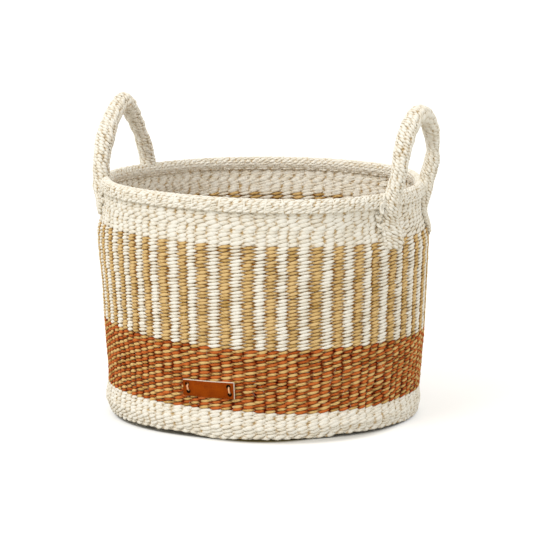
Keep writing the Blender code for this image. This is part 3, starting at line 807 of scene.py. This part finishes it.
def makeHandle(side):
    shape = loopShapes[side]
    points, widths, thicks = handleRoute(shape)
    reach = lengthAlong(points)
    rows = int(reach[-1] / handlePlan["rowPitch"])
    count = 2 * ((rows * handlePlan["warpsRound"]) // 2)
    steps = count * twist["pointsPerWarp"]
    along = np.linspace(0.0, reach[-1], steps)
    middle = resample(points, reach, along)
    forward = unit(np.gradient(middle, axis=0))
    faceWall = 1.0 - 0.6 * smoothStep((middle[:, 2] - rimBox[0][2]) / 0.03)
    outward = np.stack([middle[:, 0], middle[:, 1] * faceWall, np.zeros(steps)], axis=-1)
    outward = unit(outward - np.sum(outward * forward, axis=-1, keepdims=True) * forward)
    sideways = np.cross(forward, outward)
    yarn = handlePlan["yarn"]
    inset = yarn["deep"] + yarn["swing"]
    girth = sleeveGirth(shape, along - along[np.argmax(middle[:, 2])])
    halfWide = np.interp(along, reach, widths) * girth - inset
    halfThick = np.maximum(np.interp(along, reach, thicks) * girth - inset, 0.0010)
    made = []
    for strand in (0, 1):
        drift = 0.10 * np.sin(along * 300.0 + strand) + 0.10 * np.sin(along * 730.0)
        turn = np.arange(steps) / twist["pointsPerWarp"] / handlePlan["warpsRound"] * 2 * math.pi
        ringCos, ringSin = np.cos(turn + drift)[:, None], np.sin(turn + drift)[:, None]
        base = middle + sideways * ringCos * halfWide[:, None] + outward * ringSin * halfThick[:, None]
        normal = unit(sideways * ringCos * halfThick[:, None] + outward * ringSin * halfWide[:, None])
        centre, high, deep, marks = twinedStrand(base, normal, forward, count, strand, yarn)
        made.append((tubeRings(centre, normal, high, deep, twist["sides"], False), marks))
    rings, marks = stackTubes(made)
    nodes = [side + "_handle_cover", side + "_handle_core", side + "_end_front", side + "_end_back"]
    sleeve = addPiece(side + "Handle", tubeMesh(side + "Handle", rings, marks, False), creamYarn, None,
                      nodes)
    blendHandle(sleeve)
    pick = np.linspace(0, steps - 1, 160).astype(int)
    core = tubeRings(middle[pick], outward[pick], halfWide[pick], halfThick[pick], 12, False)
    mesh = tubeMesh(side + "HandleCore", core[None], plainMarks(np.zeros((1, 160))), False)
    blendHandle(addPiece(side + "HandleCore", mesh, warpYarn, None))


def blendHandle(piece):
    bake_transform(piece)


for side in ("right", "left"):
    makeHandle(side)
print("handles twined")


# yarn that ties each sewn end down: a loop over the rim and two knots below it
tiePlan = {
    "yarnRadius": 0.0014,
    "steps": 72,
    "besideLeg": 0.0184,        # from the leg's middle to the loop, round the wall
    "loopHalf": (0.0015, 0.0048),
    "loopDrop": 0.0055,         # below the rim's middle
    "loopAside": 0.0016,        # towards the leg
    "knots": ((0.0029, 0.0148, 0.0004), (0.0037, 0.0235, 0.0024)),   # size, drop and how far aside
    "knotStretch": 1.30,
    "standOut": {"right": 0.0012, "left": -0.0014},
    "slack": {"right": 1.0, "left": 0.72},
}


def tubeRadius(points, radius, sides):
    # a round tube on a free route, framed without twist
    count = len(points)
    forward = unit(np.gradient(points, axis=0))
    out = np.zeros((count, 3))
    start = np.cross(forward[0], (0.3, 0.2, 1.0))
    for step in range(count):
        start = start - np.dot(start, forward[step]) * forward[step]
        start = start / np.linalg.norm(start)
        out[step] = start
    return tubeRings(points, out, np.full(count, radius), np.full(count, radius), sides, False)


def knotPoints(size):
    # a trefoil drawn tight
    turn = np.linspace(0.0, 2 * math.pi, tiePlan["steps"])
    points = np.stack([
        np.sin(turn) + 1.5 * np.sin(2 * turn),
        np.cos(turn) - 1.5 * np.cos(2 * turn),
        -1.1 * np.sin(3 * turn),
    ], axis=-1)
    return points / 2.5 * size


def loopPoints(width, height):
    # the yarn goes up over itself and back down beside the leg
    turn = np.linspace(0.0, 2 * math.pi, tiePlan["steps"])
    return np.stack([width * np.sin(turn), height * np.cos(turn), 0.0007 * np.cos(2 * turn)], axis=-1)


def placeOnWall(points, angle, radius, height):
    radial = np.array([math.cos(angle), math.sin(angle), 0.0])
    sideways = np.array([-math.sin(angle), math.cos(angle), 0.0])
    upward = np.array([0.0, 0.0, 1.0])
    centre = radial * radius + upward * height
    return centre + points[:, :1] * sideways + points[:, 1:2] * upward + points[:, 2:] * radial


def makeTie(side, place):
    middle, facing = (0.0, 1.0) if side == "right" else (math.pi, -1.0)
    sign = -facing if place == "front" else facing
    beside = middle + sign * (wallShape["legAngle"][side] + tiePlan["besideLeg"] / rimCentre)
    standOut, slack = tiePlan["standOut"][side], tiePlan["slack"][side]
    angle = beside - sign * tiePlan["loopAside"] / rimCentre
    radius = rimCentre + rimHalfWidth - drawIn(angle, rimMiddle) + standOut
    level = rimMiddle + sag(angle, rimMiddle)
    tubes = [placeOnWall(loopPoints(*tiePlan["loopHalf"]) * slack, angle, radius, level - tiePlan["loopDrop"])]
    for size, drop, aside in tiePlan["knots"]:
        angle = beside - sign * aside / rimCentre
        points = knotPoints(size * slack * chance.uniform(0.95, 1.05))
        points[:, 0] *= tiePlan["knotStretch"]
        seat = float(seatRadius(angle, level - drop))
        tubes.append(placeOnWall(points, angle, seat + size * 0.3 + standOut, level - drop))
    rings = np.stack([tubeRadius(points, tiePlan["yarnRadius"], 8) for points in tubes])
    marks = plainMarks(chance.uniform(0.2, 1.0, (len(tubes), 1)) + np.zeros((len(tubes), tiePlan["steps"])))
    name = side + "Tie" + place.capitalize()
    knotted = side + "_end_" + place + "_tie_"
    addPiece(name, tubeMesh(name, rings, marks, False), creamYarn, "basket",
             [knotted + "loop", knotted + "knot"])


for side in ("right", "left"):
    for place in ("front", "back"):
        makeTie(side, place)
print("handles tied down")


# leather label: cut strip with pale edges, four punched holes painted dark inside as shade, and two slanted stitches
labelPlan = {
    "length": 0.0515,
    "height": 0.0162,
    "taper": 0.046,             # hand cut: taller at the right end
    "tilt": 0.032,              # and sewn on a little askew
    "thickness": 0.0022,
    "paleEdge": 0.0007,
    "holeRadius": 0.0022,
    "endLift": {"left": 0.0004, "right": 0.0020},
    "holeInset": 0.0052,
    "holeSpacing": 0.0072,
    "holeSlant": 0.0012,
    "threadRadius": 0.00085,
    "leather": (0.300, 0.052, 0.0004),
    "leatherDark": (0.200, 0.030, 0.0002),
    "cutEdge": (0.74, 0.62, 0.48),
    "paintedHoleShadeColours": ((0.012, 0.005, 0.002), (0.045, 0.016, 0.006)),
}


def labelCentre():
    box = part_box("leather_label")
    return (box[0][2] + box[1][2]) / 2


def labelLift(across):
    # the ends stand off the wall, the right one more
    share = 2 * across / labelPlan["length"]
    lift = labelPlan["endLift"]
    return np.where(share > 0.0, lift["right"] * np.abs(share) ** 3, lift["left"] * share ** 2)


def wrapLabel(points):
    # flat x, y, z becomes round the wall, up and outwards
    points = np.asarray(points)
    share = 2 * points[:, 0] / labelPlan["length"]
    height = labelCentre() + points[:, 1] * (1.0 + labelPlan["taper"] * share) + labelPlan["tilt"] * points[:, 0]
    angle = -math.pi / 2 + points[:, 0] / wallRadius(-math.pi / 2, height)
    radius = wallRadius(angle, height) + 0.0004 + points[:, 2]
    level = height + sag(angle, height)
    return np.stack([radius * np.cos(angle), radius * np.sin(angle), level], axis=-1)


def makeLeather():
    material, tree, shader = startMaterial("leather", 0.55)
    shader.inputs["Specular IOR Level"].default_value = 0.05
    place = tree.nodes.new("ShaderNodeTexCoord").outputs["Object"]
    stain = noiseNode(tree, place, 90.0, 3.0)
    fine = noiseNode(tree, place, 900.0, 2.0)
    ramp = tree.nodes.new("ShaderNodeValToRGB")
    ramp.color_ramp.elements[0].position = 0.35
    ramp.color_ramp.elements[0].color = (*labelPlan["leatherDark"], 1.0)
    ramp.color_ramp.elements[1].position = 0.62
    ramp.color_ramp.elements[1].color = (*labelPlan["leather"], 1.0)
    blend = mathNode(tree, "ADD", mathNode(tree, "MULTIPLY", stain, 0.7), mathNode(tree, "MULTIPLY", fine, 0.3))
    tree.links.new(blend, ramp.inputs["Fac"])
    link(tree, ramp, "Color", shader, "Base Color")
    grain = tree.nodes.new("ShaderNodeTexVoronoi")
    grain.inputs["Scale"].default_value = 1400.0
    tree.links.new(place, grain.inputs["Vector"])
    bump = tree.nodes.new("ShaderNodeBump")
    bump.inputs["Strength"].default_value = 0.25
    bump.inputs["Distance"].default_value = 0.0002
    height = mathNode(tree, "ADD", grain.outputs["Distance"], fine)
    tree.links.new(height, bump.inputs["Height"])
    link(tree, bump, "Normal", shader, "Normal")
    edge, edgeTree, edgeShader = startMaterial("cutEdge", 0.85)
    edgePlace = edgeTree.nodes.new("ShaderNodeTexCoord").outputs["Object"]
    fibres = noiseNode(edgeTree, edgePlace, 1500.0, 3.0)
    darker = tuple(value * 0.72 for value in labelPlan["cutEdge"])
    colour = mixColour(edgeTree, "MIX", fibres, darker, labelPlan["cutEdge"])
    edgeTree.links.new(colour, edgeShader.inputs["Base Color"])
    # painted shade: the wall and floor of each hole are coloured near black
    hole, holeTree, holeShader = startMaterial("punchedHole", 0.9)
    holePlace = holeTree.nodes.new("ShaderNodeTexCoord").outputs["Object"]
    paintedHoleShade = mixColour(holeTree, "MIX", noiseNode(holeTree, holePlace, 900.0, 2.0), *labelPlan["paintedHoleShadeColours"])
    holeTree.links.new(paintedHoleShade, holeShader.inputs["Base Color"])
    holeShader.inputs["Specular IOR Level"].default_value = 0.05
    return material, edge, hole


def holePlaces():
    across = labelPlan["length"] / 2 - labelPlan["holeInset"]
    up = labelPlan["holeSpacing"] / 2
    slant = labelPlan["holeSlant"]
    return [(side * across - slant * end * 0.5, end * up) for side in (-1.0, 1.0) for end in (1.0, -1.0)]


def punchHoles(label):
    for across, up in holePlaces():
        bpy.ops.object.select_all(action="DESELECT")
        # the holes stop short of the back, so each has a floor for its painted shade
        bpy.ops.mesh.primitive_cylinder_add(vertices=20, radius=labelPlan["holeRadius"],
                                            depth=labelPlan["thickness"] * 2,
                                            location=(across, up, labelPlan["thickness"] * 1.15))
        punch = bpy.context.object
        hole = label.modifiers.new("hole", "BOOLEAN")
        hole.operation = "DIFFERENCE"
        hole.object = punch
        bpy.context.view_layer.objects.active = label
        bpy.ops.object.modifier_apply(modifier=hole.name)
        bpy.data.objects.remove(punch, do_unlink=True)


def onCutEdge(face):
    # the rolled rim shows its pale cut along the top and the right end, and all round from the side
    overTop = face.center.y - (labelPlan["height"] / 2 - labelPlan["paleEdge"])
    overEnd = face.center.x - (labelPlan["length"] / 2 - labelPlan["paleEdge"])
    atSide = max(abs(face.center.x) - labelPlan["length"] / 2, abs(face.center.y) - labelPlan["height"] / 2)
    return overTop > 0.0 or overEnd > 0.0 or atSide > -0.0002


# faces on a hole's wall and floor, which take the painted shade
def inHole(face):
    near = min(math.hypot(face.center.x - across, face.center.y - up) for across, up in holePlaces())
    return near < labelPlan["holeRadius"] * 1.04 and face.center.z < labelPlan["thickness"] * 0.98


def makeLabel():
    bpy.ops.object.select_all(action="DESELECT")
    bpy.ops.mesh.primitive_cube_add(size=1.0, location=(0.0, 0.0, labelPlan["thickness"] / 2))
    label = bpy.context.object
    label.name = "leatherLabel"
    label.scale = (labelPlan["length"], labelPlan["height"], labelPlan["thickness"])
    bpy.ops.object.transform_apply(location=True, rotation=False, scale=True)
    bevel = label.modifiers.new("wornEdge", "BEVEL")
    bevel.width = labelPlan["paleEdge"]
    bevel.segments = 3
    bpy.ops.object.modifier_apply(modifier=bevel.name)
    punchHoles(label)
    for step in range(1, 24):
        place = labelPlan["length"] * (step / 24 - 0.5)
        bpy.ops.object.mode_set(mode="EDIT")
        bpy.ops.mesh.select_all(action="SELECT")
        bpy.ops.mesh.bisect(plane_co=(place, 0.0, 0.0), plane_no=(1.0, 0.0, 0.0))
        bpy.ops.object.mode_set(mode="OBJECT")
    mesh = label.data
    for material in makeLeather():
        mesh.materials.append(material)
    for face in mesh.polygons:
        face.material_index = 2 if inHole(face) else int(onCutEdge(face))
    flat = np.array([vertex.co[:] for vertex in mesh.vertices])
    flat[:, 2] += labelLift(flat[:, 0])
    mesh.vertices.foreach_set("co", wrapLabel(flat).astype(np.float32).ravel())
    mesh.update()
    bpy.ops.object.select_all(action="DESELECT")
    label.select_set(True)
    bpy.context.view_layer.objects.active = label
    bpy.ops.object.shade_smooth_by_angle(angle=math.radians(35.0))
    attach(label, "basket")
    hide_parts("leather_label")


def makeLabelStitches():
    places = holePlaces()
    lift = labelPlan["thickness"] + labelPlan["threadRadius"] * 0.75
    sink = labelPlan["thickness"] * 0.3
    tubes = []
    for upper, lower in (places[:2], places[2:]):
        share = np.linspace(0.08, 0.92, 16)
        across = upper[0] + (lower[0] - upper[0]) * share
        up = upper[1] + (lower[1] - upper[1]) * share
        out = sink + (lift - sink) * smoothStep((np.minimum(share, 1.0 - share) - 0.08) / 0.20)
        flat = np.stack([across, up, out + labelLift(across)], axis=-1)
        tubes.append(tubeRadius(wrapLabel(flat), labelPlan["threadRadius"], 10))
    marks = plainMarks(np.zeros((2, 16)))
    addPiece("labelStitches", tubeMesh("labelStitches", np.stack(tubes), marks, False), threadYarn,
             "basket", ["label_stitch_left", "label_stitch_right"])


makeLabel()
makeLabelStitches()
print("label sewn on")


# loose fibres that stick out of the yarn
fibrePlan = {"count": 520, "radius": 0.00009, "shortest": 0.003, "longest": 0.011}


def makeFibres():
    count = fibrePlan["count"]
    angle = chance.uniform(0.0, 2 * math.pi, count)
    height = chance.uniform(0.001, 1.0, count) ** 1.3 * rimBox[1][2]
    inRim = height > rimBox[0][2]
    radius = wallRadius(angle, height) + np.where(inRim, 0.0040, 0.0)
    length = chance.uniform(fibrePlan["shortest"], fibrePlan["longest"], count)
    heading = chance.uniform(-math.pi, math.pi, count)
    lift = chance.uniform(0.15, 0.7, count)
    curl = chance.uniform(-0.5, 0.5, count)
    share = np.linspace(0.0, 1.0, 5)[None, :]
    reach = length[:, None] * share
    along = reach * np.cos(heading[:, None] + curl[:, None] * share)
    climb = reach * np.sin(heading[:, None] + curl[:, None] * share)
    out = -0.0008 + reach * lift[:, None] * (1.0 - 0.4 * share)
    level = np.maximum(height[:, None] + climb + sag(angle, height)[:, None], 0.0004)
    turned = angle[:, None] + along / radius[:, None]
    points = np.stack([(radius[:, None] + out) * np.cos(turned), (radius[:, None] + out) * np.sin(turned), level],
                      axis=-1)
    thick = np.full((count, 5), fibrePlan["radius"]) * np.array([1.2, 1.0, 0.9, 0.7, 0.3])
    upward = np.zeros(points.shape)
    upward[..., 2] = 1.0
    upward[..., 0] = 0.31
    rings = tubeRings(points, upward, thick, thick, 3, False)
    marks = plainMarks(chance.uniform(0.0, 1.0, (count, 1)) + np.zeros((count, 5)))
    addPiece("looseFibres", tubeMesh("looseFibres", rings, marks, False), creamYarn, "basket")


makeFibres()
print("loose fibres added")


# camera where the photograph was taken from
cameraPlan = {
    "distance": 3.6617,
    "height": 0.7090,
    "pitch": math.radians(8.791),
    "yaw": math.radians(0.032),
    "lens": 256.9,
}


def makeCamera():
    azimuth = cameraAzimuth
    reach = cameraPlan["distance"]
    place = (reach * math.sin(azimuth), -reach * math.cos(azimuth), cameraPlan["height"])
    turn = (math.pi / 2 - cameraPlan["pitch"], 0.0, azimuth - cameraPlan["yaw"])
    bpy.ops.object.camera_add(location=place, rotation=turn)
    camera = bpy.context.object
    camera.data.lens = cameraPlan["lens"]
    camera.data.sensor_width = 36.0
    camera.data.clip_end = 50.0
    bpy.context.scene.camera = camera


# pale floor with painted shadow round the basket's foot, and soft studio light
studio = {
    "floorColour": (0.60, 0.59, 0.55),
    "floorGlow": 0.46,          # only the camera sees this part of the floor's white
    # the white glow is held back in a crescent in front of the basket and under its foot, leaving painted shadow
    "shadeCentre": (0.0321, -0.0459),
    "shadeReach": (0.1025, 0.1195),
    # a dark brown patch that the camera sees on the floor in front of the foot: painted shadow
    "paintedShadowColour": (0.085, 0.065, 0.022),
    "paintedShadowCentre": (0.0306, -0.0888),
    "paintedShadowReach": (0.0594, 0.0714),
    "footReach": (0.1440, 0.1490),
    "skyStrength": 1.08,
    "keyStrength": 1.06,
    "keyDirection": (-0.30, -0.68, 0.70),
    "keySpread": math.radians(30.0),
}


def rampOver(tree, value, reach, top):
    spread = tree.nodes.new("ShaderNodeMapRange")
    spread.interpolation_type = "SMOOTHSTEP"
    spread.inputs["From Min"].default_value = reach[0]
    spread.inputs["From Max"].default_value = reach[1]
    spread.inputs["To Max"].default_value = top
    tree.links.new(value, spread.inputs["Value"])
    return spread.outputs["Result"]


def reachFrom(tree, split, centre):
    legs = [mathNode(tree, "POWER", mathNode(tree, "SUBTRACT", split.outputs[axis], middle), 2.0)
            for axis, middle in zip(("X", "Y"), centre)]
    return mathNode(tree, "SQRT", mathNode(tree, "ADD", legs[0], legs[1]))


def makeStage():
    bpy.ops.object.select_all(action="DESELECT")
    bpy.ops.mesh.primitive_plane_add(size=30.0, location=(0.0, 0.0, 0.0))
    floor = bpy.context.object
    floor.name = "studioFloor"
    material, tree, shader = startMaterial("paleFloor", 0.9)
    shader.inputs["Specular IOR Level"].default_value = 0.1
    shader.inputs["Emission Color"].default_value = (1.0, 1.0, 1.0, 1.0)
    place = tree.nodes.new("ShaderNodeTexCoord")
    split = tree.nodes.new("ShaderNodeSeparateXYZ")
    link(tree, place, "Object", split, "Vector")
    length = tree.nodes.new("ShaderNodeVectorMath")
    length.operation = "LENGTH"
    link(tree, place, "Object", length, "Vector")
    # no glow under the foot and a soft crescent of less glow in front of it: painted shadow
    outside = rampOver(tree, length.outputs["Value"], studio["footReach"], 1.0)
    fromShade = reachFrom(tree, split, studio["shadeCentre"])
    glow = mathNode(tree, "MULTIPLY", rampOver(tree, fromShade, studio["shadeReach"], studio["floorGlow"]), outside)
    # painted shadow: near the foot the camera sees the floor turn dark brown, while other rays see the plain floor
    # colour
    pastPaintedShadow = rampOver(tree, reachFrom(tree, split, studio["paintedShadowCentre"]), studio["paintedShadowReach"], 1.0)
    path = tree.nodes.new("ShaderNodeLightPath")
    pastPaintedShadow = mathNode(tree, "MAXIMUM", pastPaintedShadow, mathNode(tree, "SUBTRACT", 1.0, path.outputs["Is Camera Ray"]))
    colour = mixColour(tree, "MIX", pastPaintedShadow, studio["paintedShadowColour"], studio["floorColour"])
    tree.links.new(colour, shader.inputs["Base Color"])
    seen = mathNode(tree, "MULTIPLY", path.outputs["Is Camera Ray"], glow)
    tree.links.new(seen, shader.inputs["Emission Strength"])
    floor.data.materials.append(material)


def makeLight():
    world = bpy.data.worlds.new("studioWorld")
    bpy.context.scene.world = world
    world.use_nodes = True
    tree = world.node_tree
    sky = tree.nodes["Background"]
    sky.inputs["Color"].default_value = (1.0, 1.0, 1.0, 1.0)
    sky.inputs["Strength"].default_value = studio["skyStrength"]
    white = tree.nodes.new("ShaderNodeBackground")
    white.inputs["Strength"].default_value = 1.0
    path = tree.nodes.new("ShaderNodeLightPath")
    seen = mathNode(tree, "MAXIMUM", path.outputs["Is Camera Ray"], path.outputs["Is Glossy Ray"])
    seen = mathNode(tree, "MAXIMUM", seen, path.outputs["Is Transmission Ray"])
    mixed = tree.nodes.new("ShaderNodeMixShader")
    tree.links.new(seen, mixed.inputs["Fac"])
    tree.links.new(sky.outputs[0], mixed.inputs[1])
    tree.links.new(white.outputs[0], mixed.inputs[2])
    tree.links.new(mixed.outputs[0], tree.nodes["World Output"].inputs["Surface"])
    turn = Vector(studio["keyDirection"]).to_track_quat("Z", "Y").to_euler()
    bpy.ops.object.light_add(type="SUN", location=(-2.0, -2.0, 3.0), rotation=turn)
    lamp = bpy.context.object
    lamp.name = "keyLamp"
    lamp.data.energy = studio["keyStrength"]
    lamp.data.angle = studio["keySpread"]


makeCamera()
makeStage()
makeLight()
bpy.context.scene.view_settings.view_transform = "Standard"
print("camera, floor and light set")
